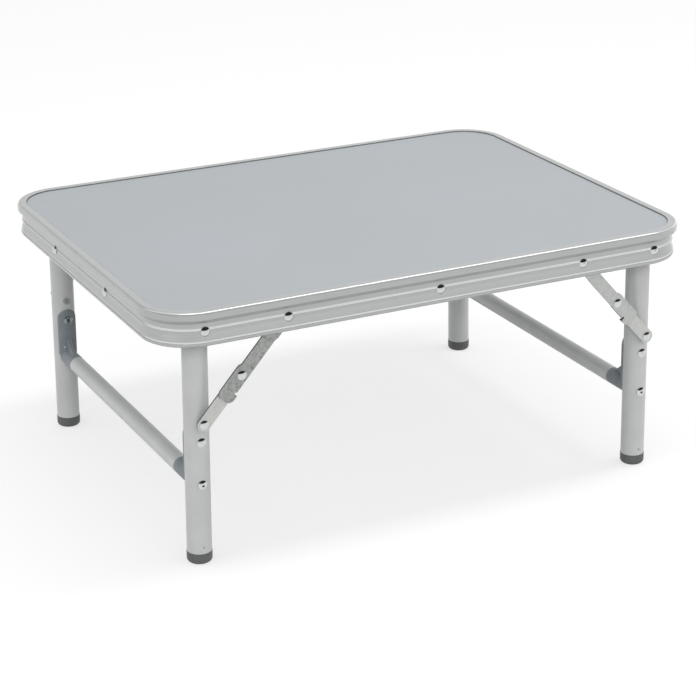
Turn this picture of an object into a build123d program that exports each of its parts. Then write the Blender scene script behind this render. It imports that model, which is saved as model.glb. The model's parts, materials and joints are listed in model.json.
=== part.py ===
"""Low folding camp table.

A thin flat top sits in a bent aluminium edge rail. Two leg frames fold inwards under the top
on cross rivets, and four two-link stays lock them open.
Millimetres. X runs along the long side, Y from the front to the back, Z up.
The origin is on the floor under the middle of the table, with the legs open.
"""
import os
from math import asin, cos, degrees, hypot, radians, sin, sqrt

from build123d import *

# Whole table
table_length = 600.0
table_width = 450.0
table_height = 270.5
corner_radius = 52.0

# Edge rail section, inset from the lip's outer face and dropped from its top
rail_height = 35.4
rail_wall = 1.2
lip_width = 10.0
lip_thickness = 1.6
lip_height = 8.0
lip_slope = 4.2
lip_round = 3.0
lip_foot_round = 2.5
recess_inset = 4.5
line_drop = 18.8
line_width = 1.8
line_crest = 1.2
line_rise = 0.5
bulge_start = 22.6
bulge_drop = 28.2
bulge_inset = 3.0
bead_drop = 31.2
bead_slope = 0.3
bead_rise = 0.5
bead_round = 2.8
edge_round = 0.7
flange_inset = 7.5
ledge_inset = 12.0
ledge_thickness = 1.2
groove_inset = 3.0
seam_gap = 0.3

# Top panel
panel_thickness = 3.0
panel_step = 0.5
panel_play = 0.1
panel_edge_play = 0.3

# Joiner bars at the two seams, and the strap under the panel
joiner_length = 190.0
joiner_height = 16.0
joiner_thickness = 2.0
joiner_round = 4.0
joiner_rivet_spacing = 148.0
strap_width = 22.0
strap_thickness = 1.5
strap_tab = 22.0
strap_play = 0.5

# Leg frames
pivot_inset = 49.2
pivot_drop = 20.5
leg_inset = 33.2
leg_splay = 0.7
leg_diameter = 25.0
leg_wall = 1.2
leg_top = 8.0
foot_height = 11.8
foot_proud = 0.3
foot_round = 4.2
foot_plug = 18.0
foot_plug_bore = 6.0
dimple_height = 18.6
dimple_diameter = 1.8
crossbar_distance = 164.0
crossbar_diameter = 18.0
crossbar_wall = 1.2

# Moulded connectors between the legs and a crossbar
connector_rivet_distance = 119.6
connector_width = 20.0
connector_above_rivet = 11.5
connector_thickness = 2.4
taper_above_bar = 4.0
tip_below_bar = 12.5
taper_round = 5.0
tip_round = 2.5
collar_length = 26.0
spigot_length = 22.0
gusset_thickness = 4.0
gusset_length = 19.0
gusset_rise = 17.0

# Stays
stay_rail_distance = 85.9
stay_leg_distance = 98.0
stay_standoff = 6.0
link_width = 14.0
link_thickness = 2.0
link_gap = 0.3
crank_start = 22.0
crank_run = 5.0
tongue_above = 10.5
tongue_below = 30.0
tongue_extra = 2.0
tongue_round = 6.5
stop_length = 11.0
stop_notch = 2.4
stop_notch_depth = 2.0

# Rivets and spacers
rail_head_diameter = 9.8
rail_head_height = 2.8
leg_head_diameter = 9.8
leg_head_height = 2.2
stay_head_diameter = 9.4
stay_head_height = 2.0
head_edge = 0.5
pivot_shank = 6.0
rivet_shank = 4.8
tail_diameter = 8.0
tail_height = 1.4
tubular_bore = 2.4
blind_hole = 3.0
blind_hole_depth = 1.8
blind_reach = 6.0
spacer_diameter = 12.0
pin_clearance = 0.05
face_gap = 0.3

# Places worked out from the driving sizes
pivot_height = table_height - pivot_drop
leg_radius = leg_diameter / 2
leg_length = pivot_height / cos(radians(leg_splay))
leg_reach = leg_length + leg_radius * sin(radians(leg_splay))
pivot_x = table_length / 2 - pivot_inset
leg_y = table_width / 2 - leg_inset
inner_wall = recess_inset + rail_wall
ledge_top = lip_thickness + panel_play + panel_thickness
recess_y = table_width / 2 - recess_inset
wall_y = table_width / 2 - inner_wall
side_y = leg_y + leg_radius

# Stay depths, outwards from the leg's outer side
lower_depth = stay_standoff
tongue_depth = lower_depth + link_thickness + link_gap
upper_depth = lower_depth + link_thickness + stay_head_height + face_gap
wall_depth = wall_y - side_y
recess_depth = recess_y - side_y

# Stay lengths: the links lie in one line when open, and flat on each other when folded
stay_across = stay_rail_distance + stay_leg_distance * sin(radians(leg_splay))
stay_down = stay_leg_distance * cos(radians(leg_splay))
stay_span = hypot(stay_across, stay_down)
upper_length = (stay_span + stay_leg_distance - stay_rail_distance) / 2
lower_length = stay_span - upper_length

# Frames of the front left corner, from which the other corners are mirrored
leg_frame = Plane(
    origin=(-pivot_x, -leg_y, pivot_height),
    x_dir=(cos(radians(leg_splay)), 0, -sin(radians(leg_splay))),
    z_dir=(sin(radians(leg_splay)), 0, cos(radians(leg_splay))),
)
stay_frame = Plane(
    origin=(stay_rail_distance - pivot_x, -side_y, pivot_height),
    x_dir=(-stay_across / stay_span, 0, -stay_down / stay_span),
    z_dir=(0, -1, 0),
)
corners = {
    "front_left": (-1, -1),
    "front_right": (1, -1),
    "back_left": (-1, 1),
    "back_right": (1, 1),
}


def at_corner(shape, side, end):
    """Mirror a shape of the front left corner to another corner."""
    if side > 0:
        shape = mirror(shape, about=Plane.YZ)
    if end > 0:
        shape = mirror(shape, about=Plane.XZ)
    return shape


def rod(radius, low, high):
    """A round bar along Z from one level to another."""
    return Pos(0, 0, (low + high) / 2) * Cylinder(radius, high - low)


def outward_rod(radius, inner, outer, x, z):
    """A round bar along Y on the front side, between two distances from the middle."""
    return Plane(origin=(x, 0, z), x_dir=(1, 0, 0), z_dir=(0, -1, 0)) * rod(radius, inner, outer)


def across_leg(radius, inner, outer, distance):
    """A round bar across a leg, in the leg's frame, with Z pointing outwards."""
    return Plane(origin=(0, 0, -distance), x_dir=(1, 0, 0), z_dir=(0, -1, 0)) * rod(radius, inner, outer)


def dome(diameter, height):
    """A low rivet head on the plane Z = 0."""
    radius = diameter / 2
    rise = height - head_edge
    ball = (radius**2 + rise**2) / (2 * rise)
    half_angle = asin(radius / ball) / 2
    middle = (ball * sin(half_angle), height - ball + ball * cos(half_angle))
    outline = Polyline((0, height), (0, 0), (radius, 0), (radius, head_edge))
    outline += ThreePointArc((radius, head_edge), middle, (0, height))
    return revolve(Plane.XZ * make_face(outline), axis=Axis.Z)


def nearest_corners(sketch, points):
    """The corners of a sketch that lie at the given points."""
    return [sketch.vertices().sort_by_distance((*point, 0))[0] for point in points]


def rail_section():
    """The rail's section: X is the inset from the lip, Y is the height from its top."""
    top_inner = (lip_width, 0)
    top_outer = (0, 0)
    lip_foot = (0, -lip_height)
    recess_top = (recess_inset, -lip_height - lip_slope)
    line_inset = recess_inset - line_rise
    bulge_top = (recess_inset, -bulge_start)
    bulge_foot = (bulge_inset, -bulge_drop)
    bead_inset = bulge_inset - bead_rise
    bottom_outer = (bead_inset, -rail_height)
    outline = Polyline(
        top_inner,
        top_outer,
        lip_foot,
        recess_top,
        (recess_inset, line_width / 2 - line_drop),
        (line_inset, line_crest / 2 - line_drop),
        (line_inset, -line_crest / 2 - line_drop),
        (recess_inset, -line_width / 2 - line_drop),
        bulge_top,
        bulge_foot,
        (bulge_inset, -bead_drop),
        (bead_inset, -bead_drop - bead_slope),
        bottom_outer,
        (flange_inset, -rail_height),
        (flange_inset, rail_wall - rail_height),
        (inner_wall, rail_wall - rail_height),
        (inner_wall, -ledge_top - ledge_thickness),
        (ledge_inset, -ledge_top - ledge_thickness),
        (ledge_inset, -ledge_top),
        (groove_inset, -ledge_top),
        (groove_inset, -lip_thickness),
        (lip_width, -lip_thickness),
        close=True,
    )
    section = make_face(outline)
    section = fillet(nearest_corners(section, [top_outer]), radius=lip_round)
    section = fillet(nearest_corners(section, [lip_foot]), radius=lip_foot_round)
    section = fillet(nearest_corners(section, [bottom_outer]), radius=bead_round)
    return fillet(nearest_corners(section, [top_inner, recess_top, bulge_top, bulge_foot]), radius=edge_round)


def edge_frame():
    """The front half of the edge rail: one length bent round two corners."""
    side_x = table_length / 2
    front_y = -table_width / 2
    path = FilletPolyline(
        (-side_x, -seam_gap / 2, table_height),
        (-side_x, front_y, table_height),
        (side_x, front_y, table_height),
        (side_x, -seam_gap / 2, table_height),
        radius=corner_radius,
    )
    start = Plane(origin=path @ 0, x_dir=(1, 0, 0), z_dir=(0, -1, 0))
    half = sweep(start * rail_section(), path=path)
    hole = rivet_shank / 2 + pin_clearance
    seat = rail_head_diameter / 2 + pin_clearance
    stay_x = pivot_x - stay_rail_distance
    long_holes = [(0, hole), (-stay_x, hole), (stay_x, hole)]
    long_holes += [(x, pivot_shank / 2 + pin_clearance) for x in (-pivot_x, pivot_x)]
    for x, radius in long_holes:
        half -= outward_rod(radius, wall_y - rail_wall, table_width / 2, x, pivot_height)
        half -= outward_rod(seat, recess_y, table_width / 2, x, pivot_height)
    for plane in joiner_rivet_planes(front=True):
        half -= plane * rod(hole, -2 * rail_wall, recess_inset)
        half -= plane * rod(seat, 0, recess_inset)
    notch_width = strap_width + 2 * strap_play
    notch_depth = ledge_inset - inner_wall
    notch_middle = ledge_top + ledge_thickness / 2
    notch = Box(notch_width, notch_depth, ledge_thickness)
    half -= Pos(0, inner_wall + notch_depth / 2 - table_width / 2, table_height - notch_middle) * notch
    return half


def joiner_rivet_planes(front):
    """Seats of the joiner rivets on the two short sides, facing outwards."""
    y = -joiner_rivet_spacing / 2 if front else joiner_rivet_spacing / 2
    x = table_length / 2 - recess_inset
    return [
        Plane(origin=(side * x, y, pivot_height), x_dir=(0, 1, 0), z_dir=(side, 0, 0))
        for side in (-1, 1)
    ]


def tabletop_panel():
    """The board: its edge is thinned to slip under the lip."""
    board_inset = groove_inset + panel_edge_play
    field_inset = lip_width + panel_edge_play
    board = RectangleRounded(
        table_length - 2 * board_inset, table_width - 2 * board_inset, corner_radius - board_inset
    )
    field = RectangleRounded(
        table_length - 2 * field_inset, table_width - 2 * field_inset, corner_radius - field_inset
    )
    bottom = table_height - ledge_top
    panel = extrude(Pos(0, 0, bottom) * board, panel_thickness)
    return panel + extrude(Pos(0, 0, bottom + panel_thickness) * field, panel_step)


def frame_joiner():
    """The bar that bridges the left seam inside the rail."""
    x = inner_wall + joiner_thickness / 2 - table_length / 2
    bar = Pos(x, 0, pivot_height) * Box(joiner_thickness, joiner_length, joiner_height)
    bar = fillet(bar.edges().filter_by(Axis.X), radius=joiner_round)
    for front in (True, False):
        plane = joiner_rivet_planes(front)[0]
        bar -= plane * rod(rivet_shank / 2 + pin_clearance, -rail_wall - 2 * joiner_thickness, 0)
    return bar


def centre_strap():
    """The flat strap under the panel, turned down at both ends and riveted to the rails."""
    top = table_height - ledge_top
    outline = Polyline(
        (-wall_y, top - strap_tab),
        (-wall_y, top),
        (wall_y, top),
        (wall_y, top - strap_tab),
        (wall_y - strap_thickness, top - strap_tab),
        (wall_y - strap_thickness, top - strap_thickness),
        (strap_thickness - wall_y, top - strap_thickness),
        (strap_thickness - wall_y, top - strap_tab),
        close=True,
    )
    strap = extrude(Plane.YZ * make_face(outline), strap_width / 2, both=True)
    hole = rivet_shank / 2 + pin_clearance
    return strap - outward_rod(hole, -table_width / 2, table_width / 2, 0, pivot_height)


def rail_rivet(grip):
    """A rivet through the rail, its head on Z = 0 outside, its tail past the grip inside."""
    shank = rod(rivet_shank / 2, -grip - tail_height, 0)
    tail = rod(tail_diameter / 2, -grip - tail_height, -grip)
    return dome(rail_head_diameter, rail_head_height) + shank + tail


def joiner_rivets():
    """One rivet on each side of each seam."""
    rivet = rail_rivet(rail_wall + joiner_thickness)
    planes = joiner_rivet_planes(front=True) + joiner_rivet_planes(front=False)
    return [plane * rivet for plane in planes]


def strap_rivets():
    """One rivet through each end of the strap."""
    seat = Plane(origin=(0, -recess_y, pivot_height), x_dir=(1, 0, 0), z_dir=(0, -1, 0))
    rivet = seat * rail_rivet(rail_wall + strap_thickness)
    return [rivet, mirror(rivet, about=Plane.XZ)]


def leg_pivot_rivet():
    """The cross rivet on which the front left leg turns."""
    seat = Plane(origin=(-pivot_x, -recess_y, pivot_height), x_dir=(1, 0, 0), z_dir=(0, -1, 0))
    grip = recess_depth + leg_diameter + face_gap
    shank = rod(pivot_shank / 2, -grip - tail_height, 0)
    tail = rod(tail_diameter / 2, -grip - tail_height, -grip)
    return seat * (dome(rail_head_diameter, rail_head_height) + shank + tail)


def spacer(bore, inner, outer, x):
    """A nylon bush between the rail and what turns beside it."""
    body = outward_rod(spacer_diameter / 2, inner, outer, x, pivot_height)
    return body - outward_rod(bore / 2 + pin_clearance, inner, outer, x, pivot_height)


def leg_pivot_spacer():
    """The bush between the rail and the front left leg, kept clear of the rail's corner bend."""
    past_bend = max(0, pivot_x + spacer_diameter / 2 - (table_length / 2 - corner_radius))
    bend_radius = corner_radius - inner_wall
    relief = bend_radius - sqrt(bend_radius**2 - past_bend**2)
    return spacer(pivot_shank, side_y + face_gap, wall_y - relief - pin_clearance, -pivot_x)


def stay_spacer():
    """The bush between the rail and the front left stay."""
    inner = side_y + upper_depth + link_thickness + face_gap
    return spacer(rivet_shank, inner, wall_y, stay_rail_distance - pivot_x)


def stay_pivot_rivet():
    """The rivet that carries the upper end of the front left stay."""
    seat = Plane(
        origin=(stay_rail_distance - pivot_x, -recess_y, pivot_height), x_dir=(1, 0, 0), z_dir=(0, -1, 0)
    )
    return seat * rail_rivet(recess_depth - upper_depth + face_gap)


def leg_tube():
    """A round leg, cross drilled for its rivets."""
    bottom = foot_height - leg_length
    tube = rod(leg_radius, bottom, leg_top) - rod(leg_radius - leg_wall, bottom, leg_top)
    tube -= across_leg(pivot_shank / 2 + pin_clearance, -leg_diameter, leg_diameter, 0)
    for distance in (stay_leg_distance, connector_rivet_distance, crossbar_distance):
        tube -= across_leg(rivet_shank / 2 + pin_clearance, -leg_diameter, leg_diameter, distance)
    tube -= across_leg(dimple_diameter / 2, 0, leg_diameter, leg_length - dimple_height)
    return leg_frame * tube


def foot():
    """A moulded foot cap with a hollow plug, cut level with the floor."""
    radius = leg_radius + foot_proud
    top = foot_height - leg_length
    bottom = -leg_reach
    cap = rod(radius, bottom, top)
    cap = fillet(cap.edges().sort_by(Axis.Z)[0], radius=foot_round)
    cap += rod(leg_radius - leg_wall - pin_clearance, top, top + foot_plug)
    cap -= rod(foot_plug_bore, top, top + foot_plug)
    floor = Pos(-pivot_x, -leg_y, -table_height / 2) * Box(table_length, leg_diameter * 2, table_height)
    return leg_frame * cap - floor


def crossbar():
    """The tube between the two legs of the left frame."""
    half = leg_y - leg_radius - connector_thickness - collar_length
    middle = leg_frame * Pos(0, leg_y, -crossbar_distance)
    bar = rod(crossbar_diameter / 2, -half, half)
    bar -= rod(crossbar_diameter / 2 - crossbar_wall, -half, half)
    return middle * Rot(90, 0, 0) * bar


def connector():
    """The moulded saddle that hugs the leg's inner side and plugs into the crossbar."""
    half = connector_width / 2
    top = connector_above_rivet - connector_rivet_distance
    shoulder = top - half
    taper = taper_above_bar - crossbar_distance
    tip = -crossbar_distance - tip_below_bar
    edges = Polyline((half, shoulder), (half, taper), (0, tip), (-half, taper), (-half, shoulder))
    edges += ThreePointArc((-half, shoulder), (0, top), (half, shoulder))
    outline = make_face(edges)
    outline = fillet(nearest_corners(outline, [(half, taper), (-half, taper)]), radius=taper_round)
    outline = fillet(nearest_corners(outline, [(0, tip)]), radius=tip_round)
    depth = leg_radius + connector_thickness
    blank = extrude(Plane.XZ * outline, -depth)
    saddle = blank & rod(depth, -leg_length, 0)
    collar_end = -depth - collar_length
    collar = across_leg(crossbar_diameter / 2, collar_end, 0, crossbar_distance)
    spigot_radius = crossbar_diameter / 2 - crossbar_wall - pin_clearance
    spigot = across_leg(spigot_radius, collar_end - spigot_length, collar_end, crossbar_distance)
    gusset_end = depth + gusset_length
    gusset_foot = -crossbar_distance
    gusset_low = gusset_foot + crossbar_diameter / 2
    gusset = make_face(
        Polyline(
            (leg_radius, gusset_foot),
            (gusset_end, gusset_foot),
            (gusset_end, gusset_low),
            (leg_radius, gusset_low + gusset_rise),
            close=True,
        )
    )
    body = saddle + collar + spigot + extrude(Plane.YZ * gusset, gusset_thickness / 2, both=True)
    body -= rod(leg_radius + pin_clearance, -leg_length, 0)
    shank = rivet_shank / 2 + pin_clearance
    body -= across_leg(tail_diameter / 2 + face_gap, -leg_diameter, -depth, connector_rivet_distance)
    body -= across_leg(shank, -leg_diameter, 0, connector_rivet_distance)
    body -= across_leg(shank, collar_end, 0, crossbar_distance)
    return leg_frame * body


def leg_rivet(distance, inner_end):
    """A rivet through a leg, its head shaped to the round tube."""
    seat = Plane(origin=(0, -leg_radius, -distance), x_dir=(1, 0, 0), z_dir=(0, -1, 0))
    head = seat * dome(leg_head_diameter, leg_head_height)
    head += across_leg(leg_head_diameter / 2, leg_radius - leg_head_height, leg_radius, distance)
    head -= rod(leg_radius + pin_clearance, -leg_length, 0)
    return head + across_leg(rivet_shank / 2, inner_end, leg_radius + head_edge, distance)


def connector_rivet():
    """The tubular rivet through the leg and the saddle, its end rolled over a ring."""
    inner_end = -leg_radius - connector_thickness
    rivet = leg_rivet(connector_rivet_distance, inner_end - tail_height)
    rivet += across_leg(tail_diameter / 2, inner_end - tail_height, inner_end, connector_rivet_distance)
    bore_end = inner_end + connector_thickness
    rivet -= across_leg(tubular_bore / 2, inner_end - tail_height, bore_end, connector_rivet_distance)
    return leg_frame * rivet


def blind_rivet():
    """The blind rivet into the saddle's collar, with the pin hole in its head."""
    inner_end = -leg_radius - connector_thickness - blind_reach
    rivet = leg_rivet(crossbar_distance, inner_end)
    crown = leg_radius + leg_head_height
    rivet -= across_leg(blind_hole / 2, crown - blind_hole_depth, crown, crossbar_distance)
    return leg_frame * rivet


def stay_leg_pin():
    """The leg's half of the stay's lower pivot: a raised seat outside and a tail inside."""
    seat = lower_depth - face_gap
    pin = across_leg(tail_diameter / 2, 0, leg_radius + seat, stay_leg_distance)
    pin -= rod(leg_radius + pin_clearance, -leg_length, 0)
    pin += across_leg(rivet_shank / 2, -leg_radius - tail_height, leg_radius + seat, stay_leg_distance)
    tail = across_leg(tail_diameter / 2, -leg_radius - tail_height, 0, stay_leg_distance)
    return leg_frame * (pin + (tail - rod(leg_radius + pin_clearance, -leg_length, 0)))


def upper_link():
    """The stay's upper link: a cranked strap, wider at the tongue, with a stop for the lower link."""
    half = link_width / 2
    tip = upper_length + tongue_below
    strap = Pos(upper_length / 2, 0) * SlotCenterToCenter(upper_length, link_width)
    tongue_start = upper_length - tongue_above
    tongue_width = link_width + tongue_extra
    tongue = Pos((tongue_start + tip) / 2, -tongue_extra / 2) * RectangleRounded(
        tip - tongue_start, tongue_width, tongue_round
    )
    stop_start = tip - stop_length
    stop_face = half + link_gap
    stop_width = stop_face + link_thickness
    stop = Pos(stop_start, 0) * Rectangle(stop_length, stop_width, align=(Align.MIN, Align.MIN))
    notch = Pos(stop_start, half - stop_notch_depth) * Rectangle(
        stop_notch, stop_notch_depth + stop_width, align=(Align.MAX, Align.MIN)
    )
    outline = strap + tongue + stop - notch
    outline = fillet(nearest_corners(outline, [(tip, stop_width)]), radius=tongue_round)
    crank_end = crank_start + crank_run
    side = Polyline(
        (-link_width, upper_depth),
        (crank_start, upper_depth),
        (crank_end, tongue_depth),
        (tip, tongue_depth),
        (tip, tongue_depth + link_thickness),
        (crank_end, tongue_depth + link_thickness),
        (crank_start, upper_depth + link_thickness),
        (-link_width, upper_depth + link_thickness),
        close=True,
    )
    sheet = extrude(Plane.XZ * make_face(side), link_width, both=True)
    link = extrude(outline, wall_depth) & sheet
    lip_length = stop_length - tongue_round
    lip = Box(lip_length, link_thickness, tongue_depth - lower_depth, align=(Align.MIN, Align.MIN, Align.MIN))
    link += Pos(stop_start, stop_face, lower_depth) * lip
    hole = rivet_shank / 2 + pin_clearance
    link -= rod(hole, 0, wall_depth)
    link -= Pos(upper_length, 0, 0) * rod(hole, 0, wall_depth)
    return stay_frame * link


def lower_link():
    """The stay's lower link: a plain strap with round ends."""
    outline = Pos(upper_length + lower_length / 2, 0) * SlotCenterToCenter(lower_length, link_width)
    link = extrude(Pos(0, 0, lower_depth) * outline, link_thickness)
    hole = rivet_shank / 2 + pin_clearance
    for along in (upper_length, stay_span):
        link -= Pos(along, 0, 0) * rod(hole, 0, wall_depth)
    return stay_frame * link


def middle_rivet():
    """The rivet between the two links, its tail flush in the lower link."""
    head = tongue_depth + link_thickness
    rivet = Pos(0, 0, head) * dome(stay_head_diameter, stay_head_height) + rod(rivet_shank / 2, lower_depth, head)
    return stay_frame * Pos(upper_length, 0, 0) * rivet


def lower_rivet():
    """The lower link's half of the pivot on the leg."""
    head = lower_depth + link_thickness
    rivet = Pos(0, 0, head) * dome(stay_head_diameter, stay_head_height) + rod(rivet_shank / 2, lower_depth, head)
    return stay_frame * Pos(stay_span, 0, 0) * rivet


def four_corners(shape):
    """A group of one piece at each corner."""
    return [at_corner(shape, side, end) for side, end in corners.values()]


nodes = {
    "tabletop_panel": tabletop_panel(),
    "edge_frame_front": edge_frame(),
    "edge_frame_back": mirror(edge_frame(), about=Plane.XZ),
    "frame_joiner_left": frame_joiner(),
    "frame_joiner_right": mirror(frame_joiner(), about=Plane.YZ),
    "centre_strap": centre_strap(),
    "joiner_rivets": joiner_rivets(),
    "strap_rivets": strap_rivets(),
    "leg_pivot_rivets": four_corners(leg_pivot_rivet()),
    "leg_pivot_spacers": four_corners(leg_pivot_spacer()),
    "stay_pivot_rivets": four_corners(stay_pivot_rivet()),
    "stay_spacers": four_corners(stay_spacer()),
}
single_pieces = {"leg_tube": leg_tube(), "foot": foot(), "connector": connector()}
paired_pieces = {
    "connector_rivets": connector_rivet(),
    "blind_rivets": blind_rivet(),
    "stay_leg_pins": stay_leg_pin(),
}
stay_pieces = {
    "upper_link": upper_link(),
    "middle_rivet": middle_rivet(),
    "lower_link": lower_link(),
    "lower_rivet": lower_rivet(),
}
for corner, (side, end) in corners.items():
    for name, shape in single_pieces.items():
        nodes[f"{name}_{corner}"] = at_corner(shape, side, end)
    for name, shape in stay_pieces.items():
        nodes[f"stay_{name}_{corner}"] = at_corner(shape, side, end)
for label, side in (("left", -1), ("right", 1)):
    nodes[f"crossbar_{label}"] = at_corner(crossbar(), side, -1)
    for name, shape in paired_pieces.items():
        nodes[f"{name}_{label}"] = [at_corner(shape, side, end) for end in (-1, 1)]

os.makedirs("parts", exist_ok=True)
for name, shape in nodes.items():
    if isinstance(shape, list):
        shape = Compound(children=shape)
    export_step(shape, f"parts/{name}.step")

unfolded = degrees(asin(stay_down / stay_span))
print(f"leg pivots at x {pivot_x:.3f} y {leg_y:.3f} z {pivot_height:.3f}")
print(f"stay pivots at x {pivot_x - stay_rail_distance:.3f}, links {upper_length:.3f} and {lower_length:.3f}")
print(f"leg fold {90 + leg_splay:.3f} deg, upper link turn {180 - unfolded:.3f} deg")
print(f"folded feet stand {2 * (pivot_x - leg_reach):.3f} apart")
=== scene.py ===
"""Looks of the low folding camp table: finishes, small moulded marks, stage, light and camera.

Metres. X runs along the long side, Y from the front to the back, Z up, as in the solids.
"""

import json
from math import cos, pi, radians, sin

import bmesh
import bpy
from mathutils import Matrix, Vector


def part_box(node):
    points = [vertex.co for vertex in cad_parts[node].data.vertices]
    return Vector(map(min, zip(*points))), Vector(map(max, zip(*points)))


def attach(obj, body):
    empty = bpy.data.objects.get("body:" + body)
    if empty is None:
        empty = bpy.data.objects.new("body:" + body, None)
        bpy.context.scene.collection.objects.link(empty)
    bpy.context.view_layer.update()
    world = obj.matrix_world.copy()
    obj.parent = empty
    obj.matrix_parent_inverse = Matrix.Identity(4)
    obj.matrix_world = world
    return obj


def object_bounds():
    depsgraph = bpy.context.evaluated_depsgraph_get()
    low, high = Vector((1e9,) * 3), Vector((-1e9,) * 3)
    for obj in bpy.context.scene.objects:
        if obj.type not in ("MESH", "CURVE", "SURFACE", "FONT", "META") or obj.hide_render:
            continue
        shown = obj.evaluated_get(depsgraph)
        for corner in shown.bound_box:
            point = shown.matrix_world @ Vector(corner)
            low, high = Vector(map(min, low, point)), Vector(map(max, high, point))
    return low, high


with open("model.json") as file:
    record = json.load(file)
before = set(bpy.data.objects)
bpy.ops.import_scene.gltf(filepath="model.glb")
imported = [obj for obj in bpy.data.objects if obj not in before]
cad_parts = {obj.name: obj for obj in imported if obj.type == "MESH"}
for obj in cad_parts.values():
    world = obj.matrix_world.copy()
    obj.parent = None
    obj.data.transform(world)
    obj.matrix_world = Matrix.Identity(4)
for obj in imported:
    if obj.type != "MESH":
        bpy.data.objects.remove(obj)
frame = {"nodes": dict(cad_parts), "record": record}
solid_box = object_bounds()


def tone(red, green, blue):
    """A colour given as it shows on a screen, 0 to 255, as linear light by the usual screen curve."""
    levels = []
    for level in (red, green, blue):
        share = level / 255
        levels.append(share / 12.92 if share <= 0.04045 else ((share + 0.055) / 1.055) ** 2.4)
    return (*levels, 1.0)


def grey(level):
    """A grey given as linear light."""
    return (level, level, level, 1.0)


# Camera, solved from the photograph
camera_place = Vector((-0.9487, -1.9318, 0.9505))
camera_yaw = radians(26.312)
camera_pitch = radians(21.293)
camera_roll = radians(-0.594)
camera_lens = 109.32
camera_sensor = 36.0

# Long soft light overhead
softbox_place = Vector((0.55, -0.25, 2.30))
softbox_length = 2.4
softbox_width = 0.45
softbox_radiance = 7.2

# Walls round the table, a little brighter to the left and in front
wall_gain = 1.25
wall_lean = (-0.18, -0.40, 0.0)

# Brightness of the walls, and of the dark screens that only mirrored rays meet, each as pairs of
# the sine of the height above the horizon and the level; the screens meet softly over the direction's Y
pale_walls = [(0.0, 0.4), (0.22, 0.5), (0.28, 1.0), (0.66, 1.0), (0.78, 0.20)]
front_screen = [(0.0, 1.0), (0.14, 0.95), (0.19, 0.02), (0.93, 0.02), (1.0, 0.4)]
back_screen = [(0.0, 1.0), (0.36, 0.6), (0.48, 0.03), (0.93, 0.03), (1.0, 0.4)]
screens_meet_from = -0.1
screens_meet_to = 0.5

# Round floor that sweeps up at its edge: its grey as it lights the table, and what the camera sees
floor_radius = 24.0
sweep_radius = 3.0
sweep_sides = 48
sweep_bends = 8
floor_weld = 0.001
floor_colour = 0.26
floor_shown_colour = 0.38
floor_shown_glow = 0.66

# Rail outline, for the die lines that follow it round the corners
table_half = [extent / 2 for extent in solid_box[1] - solid_box[0]]
table_top = solid_box[1].z
rail_corner = 0.052
lip_width = 0.010
lip_thickness = 0.0016

# Painted shade on the lip's inner face, in the gap above the panel: how far the painted shade runs past
# the lip's inner edge, past the lip's foot, and its fade
lip_shade_margin = 0.0002
foot_margin = 0.0001
lip_shade_fade = 0.0003

# Painted light along the rail's long sides, in bands, each by its drop from the top, half its width,
# its fade and
# its tone: a painted highlight on the lip's edge, painted light lifting the shade of the recess below
# it, and painted highlights on the raised line and the lower bead
painted_crest_highlight = tone(244, 246, 246)
painted_recess_light = tone(222, 224, 224)
painted_light_bands = [
    (0.0006, 0.0003, 0.0003, painted_crest_highlight),
    (0.0104, 0.0008, 0.0012, painted_recess_light),
    (0.0180, 0.0007, 0.0006, painted_crest_highlight),
    (0.0304, 0.0005, 0.0004, painted_crest_highlight),
]

# A surface belongs to a long side, where the rail's painted highlights and painted light show, as its
# normal turns outwards in Y between these shares
long_side_from = 0.08
long_side_to = 0.25

# Rolled rivet ends: the depth of an end face, a ring's fineness and rise, and the rings, each by
# its name, its rivets' node, its radius and half its width
end_depth = 0.0001
ring_sides = 32
ring_steps = 12
ring_rise = 0.0006
rolled_ends = [
    ("stay_pin_ring", "stay_leg_pins", 0.0017, 0.0007),
    ("saddle_rivet_ring", "connector_rivets", 0.0034, 0.0011),
]

# Gate marks on the saddles: their radius, their place from the crossbar's middle line, outwards and up,
# and their outline as shares of the radius
gate_radius = 0.0013
gate_weld = gate_radius / 100
gate_across = 0.0045
gate_above = 0.0125
gate_outline = [(1.0, -0.2), (0.8, 0.25), (0.55, 0.6), (0.28, 0.8), (0.0, 0.86)]

# Colour sockets of a mix node, which has a set of sockets for each kind of value
mix_share = 0
mix_first = 6
mix_second = 7
mix_result = 2


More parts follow.
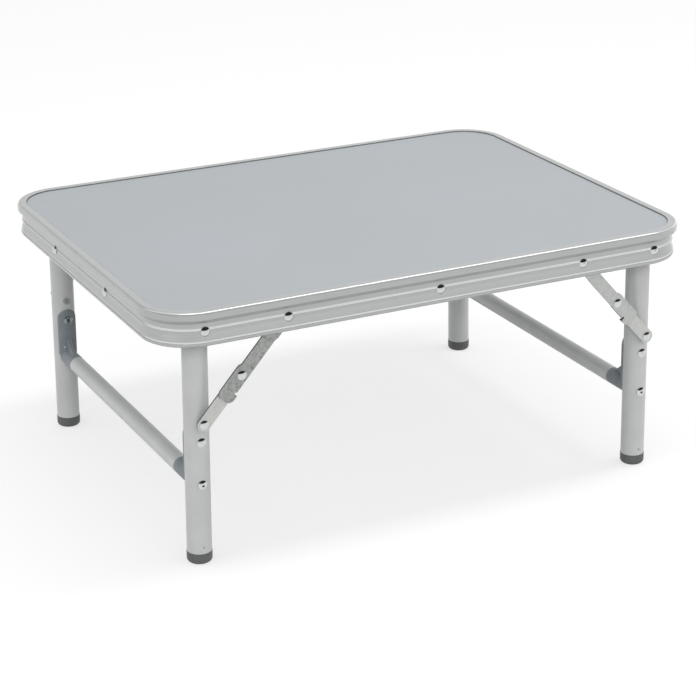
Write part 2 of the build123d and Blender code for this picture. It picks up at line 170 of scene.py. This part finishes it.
class Nodes:
    """A node tree, with short ways to add nodes to it."""

    def __init__(self, tree):
        self.tree = tree

    def node(self, kind, **settings):
        """A new node with its settings."""
        made = self.tree.nodes.new(kind)
        for name, value in settings.items():
            setattr(made, name, value)
        return made

    def feed(self, socket, value):
        """Set a socket to a fixed value, or link it to another node's output."""
        if isinstance(value, bpy.types.NodeSocket):
            self.tree.links.new(value, socket)
        else:
            socket.default_value = value

    def fed(self, kind, *values, **settings):
        """A new node with its settings, its sockets fed in order."""
        made = self.node(kind, **settings)
        for socket, value in zip(made.inputs, values):
            self.feed(socket, value)
        return made

    def shader(self, kind, *values):
        """The output of a shader node."""
        return self.fed(kind, *values).outputs[0]

    def maths(self, operation, *values):
        """The result of a maths node."""
        return self.fed("ShaderNodeMath", *values, operation=operation).outputs[0]

    def vector(self, operation, *values):
        """The result of a vector maths node, which is a number for a length or a dot product."""
        made = self.fed("ShaderNodeVectorMath", *values, operation=operation)
        return made.outputs["Value" if operation in ("LENGTH", "DOT_PRODUCT") else "Vector"]

    def parts(self, vector):
        """The outputs X, Y and Z of a vector."""
        return self.fed("ShaderNodeSeparateXYZ", vector).outputs

    def spread(self, value, low=0.0, high=1.0, start=0.3, end=0.7):
        """Carry a value from the range of start to end to the range of low to high."""
        made = self.node("ShaderNodeMapRange")
        self.feed(made.inputs["Value"], value)
        made.inputs["From Min"].default_value = start
        made.inputs["From Max"].default_value = end
        made.inputs["To Min"].default_value = low
        made.inputs["To Max"].default_value = high
        return made.outputs["Result"]

    def blend(self, share, first, second):
        """A colour between two others."""
        made = self.node("ShaderNodeMix", data_type="RGBA")
        self.feed(made.inputs[mix_share], share)
        self.feed(made.inputs[mix_first], first)
        self.feed(made.inputs[mix_second], second)
        return made.outputs[mix_result]

    def ramp(self, value, stops):
        """A ramp of greys over a value from 0 to 1."""
        made = self.fed("ShaderNodeValToRGB", value)
        elements = made.color_ramp.elements
        halfway = 0.5
        while len(elements) < len(stops):
            elements.new(halfway)
        for element, (position, level) in zip(elements, stops):
            element.position = position
            element.color = grey(level)
        return made.outputs[0]


class Finish(Nodes):
    """One procedural material: a principled shader and the nodes that vary it over the surface."""

    def __init__(self, name, metallic=0.0, specular=0.5):
        self.material = bpy.data.materials.new(name)
        self.material.use_nodes = True
        super().__init__(self.material.node_tree)
        self.bsdf = self.tree.nodes["Principled BSDF"]
        self.bsdf.inputs["Metallic"].default_value = metallic
        self.bsdf.inputs["Specular IOR Level"].default_value = specular
        self.place = self.node("ShaderNodeTexCoord").outputs["Object"]

    def stretched(self, along):
        """Coordinates drawn out along the axes where the factor is small."""
        return self.vector("MULTIPLY", self.place, along)

    def noise(self, place, scale, detail=3.0, roughness=0.5):
        """Smooth noise round 0.5, with features of about 1 / scale metres."""
        made = self.node("ShaderNodeTexNoise")
        self.feed(made.inputs["Vector"], place)
        made.inputs["Scale"].default_value = scale
        made.inputs["Detail"].default_value = detail
        made.inputs["Roughness"].default_value = roughness
        return made.outputs[0]

    def facing(self, normal):
        """The outputs X, Y and Z of one of the surface's normals."""
        return self.parts(self.node("ShaderNodeNewGeometry").outputs[normal])

    def facing_out(self, normal):
        """How far the surface faces away from the table's middle, over the Y of one of its normals."""
        side = self.maths("SIGN", self.parts(self.place)["Y"])
        return self.maths("MULTIPLY", self.facing(normal)["Y"], side)

    def colour(self, value):
        """Give the surface its colour."""
        self.feed(self.bsdf.inputs["Base Color"], value)

    def roughness(self, value):
        """Give the surface its roughness."""
        self.feed(self.bsdf.inputs["Roughness"], value)

    def bump(self, height, depth):
        """Raise the surface by a share of a small depth."""
        made = self.node("ShaderNodeBump")
        made.inputs["Distance"].default_value = depth
        self.feed(made.inputs["Height"], height)
        self.feed(self.bsdf.inputs["Normal"], made.outputs["Normal"])


def panel_finish():
    """Matt grey laminate: faint cloudy tone and a fine pearl grain."""
    finish = Finish("laminate", specular=0.45)
    clouds = finish.noise(finish.place, scale=5.0, detail=2.0)
    grain = finish.noise(finish.place, scale=1400.0, detail=2.0)
    cloudy = finish.blend(finish.spread(clouds), tone(178, 182, 185), tone(180, 185, 190))
    finish.colour(finish.blend(finish.spread(grain, high=0.5), cloudy, tone(170, 175, 179)))
    finish.roughness(finish.spread(clouds, low=0.40, high=0.46))
    finish.bump(grain, depth=0.00002)
    return finish.material


def reach_on_rail(finish):
    """How far out a point lies from the line through the corners' centres, all round the rail."""
    straight = (table_half[0] - rail_corner, table_half[1] - rail_corner, 0.0)
    flat = finish.vector("MULTIPLY", finish.place, (1.0, 1.0, 0.0))
    past = finish.vector("SUBTRACT", finish.vector("ABSOLUTE", flat), straight)
    outer_part = finish.vector("LENGTH", finish.vector("MAXIMUM", past, (0.0, 0.0, 0.0)))
    past_parts = finish.parts(past)
    nearer = finish.maths("MAXIMUM", past_parts["X"], past_parts["Y"])
    inner_part = finish.maths("MINIMUM", nearer, 0.0)
    return finish.maths("ADD", outer_part, inner_part)


def rail_finish():
    """Satin anodised extrusion: die lines all round, painted highlights and painted light in bands on
    the long sides, and painted shade on the lip's inner face.
    """
    finish = Finish("anodised_rail", metallic=0.30)
    reach = reach_on_rail(finish)
    level = finish.parts(finish.place)["Z"]
    section = finish.fed("ShaderNodeCombineXYZ", reach, level).outputs[0]
    die_lines = finish.noise(section, scale=2600.0, detail=4.0, roughness=0.7)
    streaks = finish.noise(section, scale=420.0, detail=1.0)
    clouds = finish.noise(finish.place, scale=26.0, detail=2.0)
    shade = finish.blend(finish.spread(streaks), tone(196, 198, 198), tone(200, 202, 202))
    shade = finish.blend(finish.spread(clouds, high=0.35), shade, tone(191, 193, 193))
    # Painted light, on the long sides only: painted highlights on the lip's edge, raised line and bead,
    # and painted light in the recess
    long_side = finish.spread(finish.facing_out("Normal"), start=long_side_from, end=long_side_to)
    for drop, half_width, fade, painted_tone in painted_light_bands:
        offset = finish.maths("ABSOLUTE", finish.maths("SUBTRACT", level, table_top - drop))
        painted_band = finish.spread(offset, low=1.0, high=0.0, start=half_width, end=half_width + fade)
        shade = finish.blend(finish.maths("MULTIPLY", painted_band, long_side), shade, painted_tone)
    # Painted shade: the lip's inner face, in the gap above the panel, darkened
    lip_inner_line = rail_corner - lip_width + lip_shade_margin
    foot_line = table_top - lip_thickness - foot_margin
    near_lip_inner = finish.spread(reach, low=1.0, high=0.0, start=lip_inner_line, end=lip_inner_line + lip_shade_fade)
    on_lip = finish.spread(level, start=foot_line - lip_shade_fade, end=foot_line)
    painted_lip_shade = finish.maths("MULTIPLY", near_lip_inner, on_lip)
    finish.colour(finish.blend(painted_lip_shade, shade, tone(112, 114, 114)))
    finish.roughness(finish.spread(die_lines, low=0.13, high=0.17))
    finish.bump(die_lines, depth=0.000001)
    return finish.material


def tube_finish(name, along, dark, light):
    """Satin drawn tube: fine lines along the tube and a slightly uneven tone."""
    finish = Finish(name, metallic=0.1)
    lines = finish.noise(finish.stretched(along), scale=1800.0, detail=4.0, roughness=0.65)
    clouds = finish.noise(finish.place, scale=34.0)
    finish.colour(finish.blend(finish.spread(clouds), dark, light))
    finish.roughness(finish.spread(lines, low=0.32, high=0.42))
    finish.bump(lines, depth=0.000006)
    return finish.material


def joiner_finish():
    """Mill aluminium: plain, a little duller than the rail."""
    finish = Finish("mill_aluminium", metallic=1.0)
    drawn_across = (1.0, 0.03, 1.0)
    lines = finish.noise(finish.stretched(drawn_across), scale=1500.0, detail=4.0)
    clouds = finish.noise(finish.place, scale=60.0)
    finish.colour(finish.blend(finish.spread(clouds), tone(186, 188, 189), tone(198, 200, 201)))
    finish.roughness(finish.spread(lines, low=0.36, high=0.50))
    finish.bump(lines, depth=0.00001)
    return finish.material


def link_finish(name, dark, light, spotting):
    """Zinc plated sheet steel: cloudy plating, patches of small dull spots, and edges of the sheet
    darker, partly as bare cut steel and partly as a painted dark reflection.
    """
    finish = Finish(name, metallic=0.6)
    clouds = finish.noise(finish.place, scale=180.0, detail=4.0, roughness=0.6)
    spots = finish.noise(finish.place, scale=520.0)
    patches = finish.noise(finish.place, scale=70.0, detail=1.0)
    cloudy = finish.blend(finish.spread(clouds), dark, light)
    spot_share = finish.spread(spots, start=0.54, end=0.66)
    patch_share = finish.spread(patches, high=spotting, start=0.40, end=0.48)
    spotted = finish.blend(finish.maths("MULTIPLY", spot_share, patch_share), cloudy, tone(96, 99, 98))
    # Edges of the sheet darker: partly bare cut steel, partly a painted dark reflection
    flatness = finish.maths("ABSOLUTE", finish.facing("True Normal")["Y"])
    sheared_edge_and_painted_reflection = finish.spread(flatness, low=1.0, high=0.0)
    finish.colour(finish.blend(sheared_edge_and_painted_reflection, spotted, tone(130, 132, 131)))
    finish.roughness(finish.spread(clouds, low=0.30, high=0.44))
    finish.bump(clouds, depth=0.00002)
    return finish.material


def rivet_finish():
    """Bright plated rivets: nearly mirror smooth heads with fine scuffs, and darker inner end faces."""
    finish = Finish("bright_plating", metallic=1.0)
    scuffs = finish.noise(finish.place, scale=900.0, detail=4.0, roughness=0.7)
    bright = finish.blend(finish.spread(scuffs), tone(196, 199, 199), tone(212, 215, 215))
    darker_inner_end = finish.spread(finish.facing_out("True Normal"), low=1.0, high=0.0, start=-0.97, end=-0.9)
    finish.colour(finish.blend(darker_inner_end, bright, tone(88, 91, 91)))
    finish.roughness(finish.spread(scuffs, low=0.05, high=0.12))
    return finish.material


def plastic_finish(name, dark, light, smoothest, roughest):
    """Moulded plastic: spark eroded texture and a slightly uneven tone."""
    finish = Finish(name)
    texture = finish.noise(finish.place, scale=2200.0, detail=2.0)
    clouds = finish.noise(finish.place, scale=90.0)
    finish.colour(finish.blend(finish.spread(clouds), dark, light))
    finish.roughness(finish.spread(texture, low=smoothest, high=roughest))
    finish.bump(texture, depth=0.00004)
    return finish.material


def dress_nodes():
    """Give every solid its finish: by the record's slots, and for a few solids by their names."""
    drawn_upwards = (1.0, 1.0, 0.02)
    drawn_across = (1.0, 0.02, 1.0)
    not_drawn = (1.0, 1.0, 1.0)
    tube_tones = (tone(219, 221, 220), tone(226, 228, 227))
    pin_tones = (tone(176, 178, 177), tone(190, 192, 191))
    link_tones = (tone(188, 190, 188), tone(204, 206, 204))
    dull_link_tones = (tone(150, 152, 150), tone(184, 186, 184))
    clean_link_tones = (tone(200, 201, 198), tone(212, 213, 209))
    saddle_tones = (tone(142, 150, 155), tone(152, 160, 165))
    foot_tones = (tone(104, 106, 105), tone(114, 116, 115))
    nylon_tones = (tone(222, 221, 214), tone(232, 231, 225))
    by_slot = {
        "panel": panel_finish(),
        "rail": rail_finish(),
        "tube": tube_finish("drawn_leg_tube", drawn_upwards, *tube_tones),
        "joiner": joiner_finish(),
        "link": link_finish("zinc_link", *link_tones, spotting=0.2),
        "rivet": rivet_finish(),
        "connector": plastic_finish("connector_plastic", *saddle_tones, smoothest=0.42, roughest=0.55),
        "foot": plastic_finish("foot_plastic", *foot_tones, smoothest=0.45, roughest=0.60),
        "spacer": plastic_finish("nylon", *nylon_tones, smoothest=0.35, roughest=0.45),
    }
    by_name = [
        ("crossbar", "", tube_finish("drawn_crossbar", drawn_across, *tube_tones)),
        ("stay_upper_link", "left", link_finish("dull_zinc_link", *dull_link_tones, spotting=0.7)),
        ("stay_lower_link", "", link_finish("clean_zinc_link", *clean_link_tones, spotting=0.1)),
        ("stay_leg_pins", "", tube_finish("dull_pin", not_drawn, *pin_tones)),
    ]
    for part in frame["record"]["subparts"]:
        name = part["node"]
        chosen = by_slot[part["material_slot"]]
        for first_word, last_word, special in by_name:
            if name.startswith(first_word) and name.endswith(last_word):
                chosen = special
        solid = frame["nodes"][name]
        solid.data.materials.clear()
        solid.data.materials.append(chosen)


def new_object(name, shape):
    """An object made from a finished shape."""
    mesh = bpy.data.meshes.new(name)
    shape.to_mesh(mesh)
    shape.free()
    made = bpy.data.objects.new(name, mesh)
    bpy.context.scene.collection.objects.link(made)
    return made


def smooth_piece(name, shape):
    """A smooth object made from a finished shape."""
    for face in shape.faces:
        face.smooth = True
    return new_object(name, shape)


def turned(outline, sides, weld):
    """A shape turned round the Z axis from an outline of radii and heights."""
    shape = bmesh.new()
    points = [shape.verts.new((radius, 0.0, height)) for radius, height in outline]
    edges = [shape.edges.new(pair) for pair in zip(points, points[1:])]
    bmesh.ops.spin(
        shape, geom=points + edges, axis=(0, 0, 1), cent=(0, 0, 0), angle=2 * pi, steps=sides
    )
    bmesh.ops.remove_doubles(shape, verts=shape.verts, dist=weld)
    return shape


def inner_end(name, side):
    """The middle of a rivet's inner end face, on the front (-1) or the back (1) leg."""
    points = [vertex.co for vertex in frame["nodes"][name].data.vertices if vertex.co.y * side > 0]
    level = min(point.y * side for point in points)
    face = [point for point in points if point.y * side - level < end_depth]
    across = [point.x for point in face]
    up = [point.z for point in face]
    return Vector(((min(across) + max(across)) / 2, level * side, (min(up) + max(up)) / 2))


def rolled_ring(name, place, reach, half_width):
    """A closed ring of oval section round the Y axis, as a rivet's rolled end has."""
    rim = bmesh.new()
    loops = []
    for turn in range(ring_sides):
        angle = 2 * pi * turn / ring_sides
        loop = []
        for step in range(ring_steps):
            swing = 2 * pi * step / ring_steps
            radius = reach + half_width * cos(swing)
            offset = Vector((radius * cos(angle), ring_rise * sin(swing), radius * sin(angle)))
            loop.append(rim.verts.new(place + offset))
        loops.append(loop)
    for here, there in zip(loops, loops[1:] + loops[:1]):
        for step in range(ring_steps):
            after = (step + 1) % ring_steps
            rim.faces.new((here[step], here[after], there[after], there[step]))
    bmesh.ops.recalc_face_normals(rim, faces=rim.faces)
    return smooth_piece(name, rim)


def gate_mark(name, place, normal):
    """A small raised dome with a flared foot, left by the moulding gate."""
    outline = [(gate_radius * reach, gate_radius * height) for reach, height in gate_outline]
    dome = turned(outline, ring_sides, gate_weld)
    bmesh.ops.holes_fill(dome, edges=dome.edges)
    bmesh.ops.recalc_face_normals(dome, faces=dome.faces)
    turn = normal.to_track_quat("Z", "Y").to_matrix().to_4x4()
    bmesh.ops.transform(dome, matrix=Matrix.Translation(place) @ turn, verts=dome.verts)
    return smooth_piece(name, dome)


def leg_details():
    """Rolled rivet ends, and gate marks on the inner side of the legs and saddles, in a pale colour
    that is a painted highlight.
    """
    bright = bpy.data.materials["bright_plating"]
    glint_tones = (tone(214, 217, 216), tone(226, 229, 228))
    # The gate marks' pale colour is a painted highlight, lighter than the saddle plastic
    pale = plastic_finish("painted_glint_plastic", *glint_tones, smoothest=0.35, roughest=0.45)
    for frame_side, outwards in (("left", -1), ("right", 1)):
        body = f"{frame_side}_leg_frame"
        bar_low, bar_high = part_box(f"crossbar_{frame_side}")
        bar_middle = (Vector(bar_low) + Vector(bar_high)) / 2
        for leg, side in (("front", -1), ("back", 1)):
            for kind, node, reach, half_width in rolled_ends:
                end = inner_end(f"{node}_{frame_side}", side)
                ring = rolled_ring(f"{kind}_{leg}_{frame_side}", end, reach, half_width)
                ring.data.materials.append(bright)
                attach(ring, body)
            start = Vector((bar_middle.x + outwards * gate_across, 0.0, bar_middle.z + gate_above))
            saddle = frame["nodes"][f"connector_{leg}_{frame_side}"]
            hit, place, normal, _ = saddle.ray_cast(start, Vector((0.0, side, 0.0)))
            if hit:
                gate = gate_mark(f"gate_mark_{leg}_{frame_side}", place, normal)
                gate.data.materials.append(pale)
                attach(gate, body)


def floor_finish():
    """Grey as it lights the table; white to the camera and in reflections, with the soft shadow."""
    material = bpy.data.materials.new("floor_white")
    material.use_nodes = True
    nodes = Nodes(material.node_tree)
    nodes.tree.nodes.clear()
    rays = nodes.node("ShaderNodeLightPath").outputs
    seen = nodes.maths("MAXIMUM", rays["Is Camera Ray"], rays["Is Glossy Ray"])
    seen = nodes.maths("MAXIMUM", seen, rays["Is Transmission Ray"])
    lit = nodes.shader("ShaderNodeBsdfDiffuse", grey(floor_colour))
    shown = nodes.shader("ShaderNodeBsdfDiffuse", grey(floor_shown_colour))
    glow = nodes.shader("ShaderNodeEmission", grey(1.0), floor_shown_glow)
    white = nodes.shader("ShaderNodeAddShader", shown, glow)
    output = nodes.node("ShaderNodeOutputMaterial")
    nodes.feed(output.inputs["Surface"], nodes.shader("ShaderNodeMixShader", seen, lit, white))
    return material


def floor():
    """A round pale floor that sweeps up into a low wall."""
    outline = [(0.0, 0.0)]
    for step in range(sweep_bends + 1):
        angle = pi / 2 * step / sweep_bends
        outline.append((floor_radius + sweep_radius * sin(angle), sweep_radius * (1 - cos(angle))))
    sweep = turned(outline, sweep_sides, floor_weld)
    bmesh.ops.recalc_face_normals(sweep, faces=sweep.faces)
    plane = new_object("floor", sweep)
    plane.data.materials.append(floor_finish())


def studio():
    """White to the camera and pale walls to the table; mirrored rays meet dark screens higher up."""
    world = bpy.data.worlds.new("studio")
    world.use_nodes = True
    nodes = Nodes(world.node_tree)
    direction = nodes.node("ShaderNodeTexCoord").outputs["Generated"]
    towards = nodes.parts(direction)
    pale = nodes.ramp(towards["Z"], pale_walls)
    in_front = nodes.ramp(towards["Z"], front_screen)
    behind = nodes.ramp(towards["Z"], back_screen)
    meeting = nodes.spread(towards["Y"], start=screens_meet_from, end=screens_meet_to)
    mirrored = nodes.blend(meeting, in_front, behind)
    rays = nodes.node("ShaderNodeLightPath").outputs
    gain = nodes.maths("ADD", nodes.vector("DOT_PRODUCT", direction, wall_lean), wall_gain)
    walls = nodes.tree.nodes["Background"]
    nodes.feed(walls.inputs["Color"], nodes.blend(rays["Is Glossy Ray"], pale, mirrored))
    nodes.feed(walls.inputs["Strength"], gain)
    white = nodes.shader("ShaderNodeBackground", grey(1.0))
    shown = nodes.shader("ShaderNodeMixShader", rays["Is Camera Ray"], walls.outputs[0], white)
    nodes.feed(nodes.tree.nodes["World Output"].inputs["Surface"], shown)
    bpy.context.scene.world = world


def softbox():
    """A long soft light overhead, along the table."""
    light = bpy.data.lights.new("softbox", "AREA")
    light.shape = "RECTANGLE"
    light.size = softbox_length
    light.size_y = softbox_width
    light.energy = softbox_radiance * pi * softbox_length * softbox_width
    lamp = bpy.data.objects.new("softbox", light)
    lamp.location = softbox_place
    bpy.context.scene.collection.objects.link(lamp)


def camera():
    """The camera at the photograph's place and angle."""
    forward = Vector(
        (sin(camera_yaw) * cos(camera_pitch), cos(camera_yaw) * cos(camera_pitch), -sin(camera_pitch))
    )
    level_right = Vector((cos(camera_yaw), -sin(camera_yaw), 0.0))
    level_up = level_right.cross(forward)
    right = cos(camera_roll) * level_right + sin(camera_roll) * level_up
    up = cos(camera_roll) * level_up - sin(camera_roll) * level_right
    lens = bpy.data.cameras.new("camera")
    lens.lens = camera_lens
    lens.sensor_width = camera_sensor
    eye = bpy.data.objects.new("camera", lens)
    turn = Matrix((right, up, -forward)).transposed()
    eye.matrix_world = Matrix.Translation(camera_place) @ turn.to_4x4()
    bpy.context.scene.collection.objects.link(eye)
    bpy.context.scene.camera = eye


dress_nodes()
leg_details()
floor()
studio()
softbox()
camera()
bpy.context.scene.view_settings.view_transform = "Standard"
